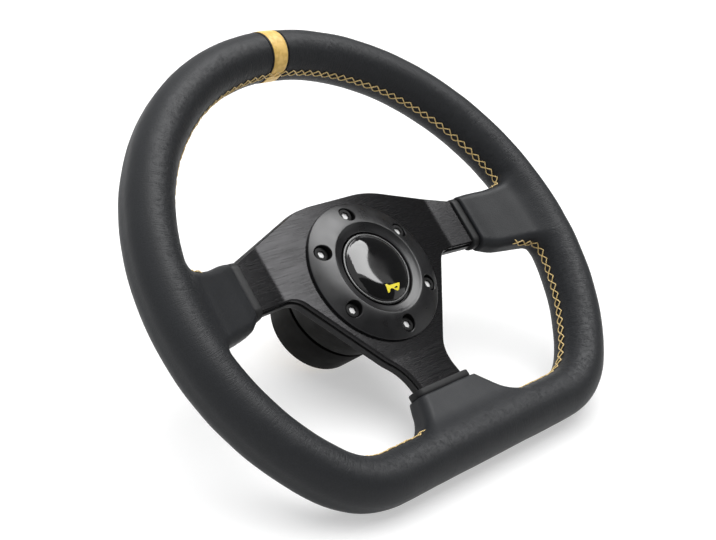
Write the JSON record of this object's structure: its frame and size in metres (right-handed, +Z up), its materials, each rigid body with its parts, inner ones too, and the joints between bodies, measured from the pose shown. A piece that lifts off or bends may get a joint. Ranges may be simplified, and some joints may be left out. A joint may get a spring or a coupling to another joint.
{
  "type": "car steering wheel",
  "caption": "Flat-bottomed sports steering wheel with a leather rim, a brushed dished spoke plate, a bolted ring, a sprung horn button and a hub for the steering column.",
  "frame": {"origin": "centre of the hub's rear seat, on the steering axis, where the hub meets the column", "axes": "-Y along the steering axis towards the driver, +Z up to 12 o'clock, +X to the driver's right"},
  "size_m": [0.306, 0.0894, 0.2724],
  "materials": {
    "leather": "black grained leather, satin",
    "cuff_leather": "black smooth leather, matt",
    "band_leather": "yellow smooth leather",
    "thread": "waxed beige thread",
    "foam": "moulded padding",
    "brushed_plate": "dark anodised, brushed along the arms",
    "dark_steel": "grey painted steel",
    "ring_black": "black anodised, satin",
    "bolt_black": "black oxide steel",
    "housing_plastic": "black nylon",
    "cap_plastic": "black, satin",
    "dome_gloss": "black, polished",
    "sign_yellow": "yellow print",
    "contact_brass": "plain brass",
    "spring_steel": "bright spring wire",
    "hub_metal": "turned",
    "hub_cover": "black, matt",
    "carrier_plastic": "black phenolic"
  },
  "bodies": {
    "wheel": {"rim_core": "dark_steel", "rim_padding": "foam", "rim_leather": "leather", "centre_band": "band_leather", "stitching_top": "thread", "stitching_right": "thread", "stitching_left": "thread", "sleeve_right": "leather", "sleeve_left": "leather", "sleeve_bottom": "leather", "cuff_right": "cuff_leather", "cuff_left": "cuff_leather", "cuff_bottom": "cuff_leather", "spoke_plate": "brushed_plate", "spoke_frame": "dark_steel", "horn_ring": "ring_black", "ring_bolts": "bolt_black", "button_housing": "housing_plastic", "button_spring": "spring_steel", "contact_ring": "contact_brass", "terminal_live": "contact_brass", "terminal_earth": "contact_brass", "hub_boss": "hub_metal", "boss_cover": "hub_cover", "boss_collar": "hub_cover", "slip_ring_carrier": "carrier_plastic", "slip_ring": "contact_brass"},
    "button": {"button_cap": "cap_plastic", "button_dome": "dome_gloss", "horn_symbol": "sign_yellow", "contact_disc": "contact_brass", "button_clip": "spring_steel"}
  },
  "joints": [
    {"name": "horn_button", "type": "slide", "parent": "wheel", "child": "button", "axis": [0, 1, 0], "range_m": [0, 0.0025], "stiffness_N_per_m": 3000, "springref_m": -0.002, "deforming": ["button_spring"]}
  ]
}
